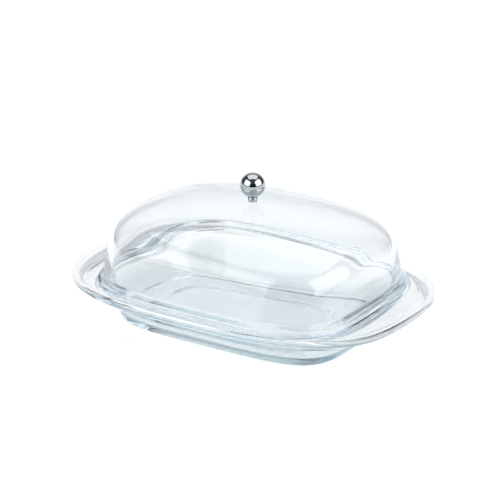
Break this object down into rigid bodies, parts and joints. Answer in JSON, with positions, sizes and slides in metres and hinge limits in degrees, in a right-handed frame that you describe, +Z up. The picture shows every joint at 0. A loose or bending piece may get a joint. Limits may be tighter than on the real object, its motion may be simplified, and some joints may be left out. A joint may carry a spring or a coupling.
{
  "type": "butter dish",
  "caption": "Oblong clear glass butter dish with a wide flanged plate, a shallow well on a low foot and a domed glass cover lifted by a chrome ball knob.",
  "frame": {"origin": "on the table under the middle of the foot, cover on", "axes": "+X along the dish's length, +Y across its width, +Z up, the way the cover lifts"},
  "size_m": [0.2, 0.1404, 0.0858],
  "materials": {
    "dish_glass": "pressed, fire polished",
    "cover_glass": "pressed, fire polished",
    "knob_chrome": "mirror polished",
    "stud_steel": "threaded, plain",
    "clear_adhesive": "cured clear adhesive"
  },
  "bodies": {
    "dish": {"dish": "dish_glass"},
    "cover": {"lid_dome": "cover_glass", "knob_ball": "knob_chrome", "knob_collar": "knob_chrome", "knob_stud": "stud_steel", "bond_disc": "clear_adhesive"}
  },
  "joints": [
    {"name": "cover_lift", "type": "slide", "parent": "dish", "child": "cover", "axis": [0, 0, 1], "range_m": [0, 0.12]}
  ]
}
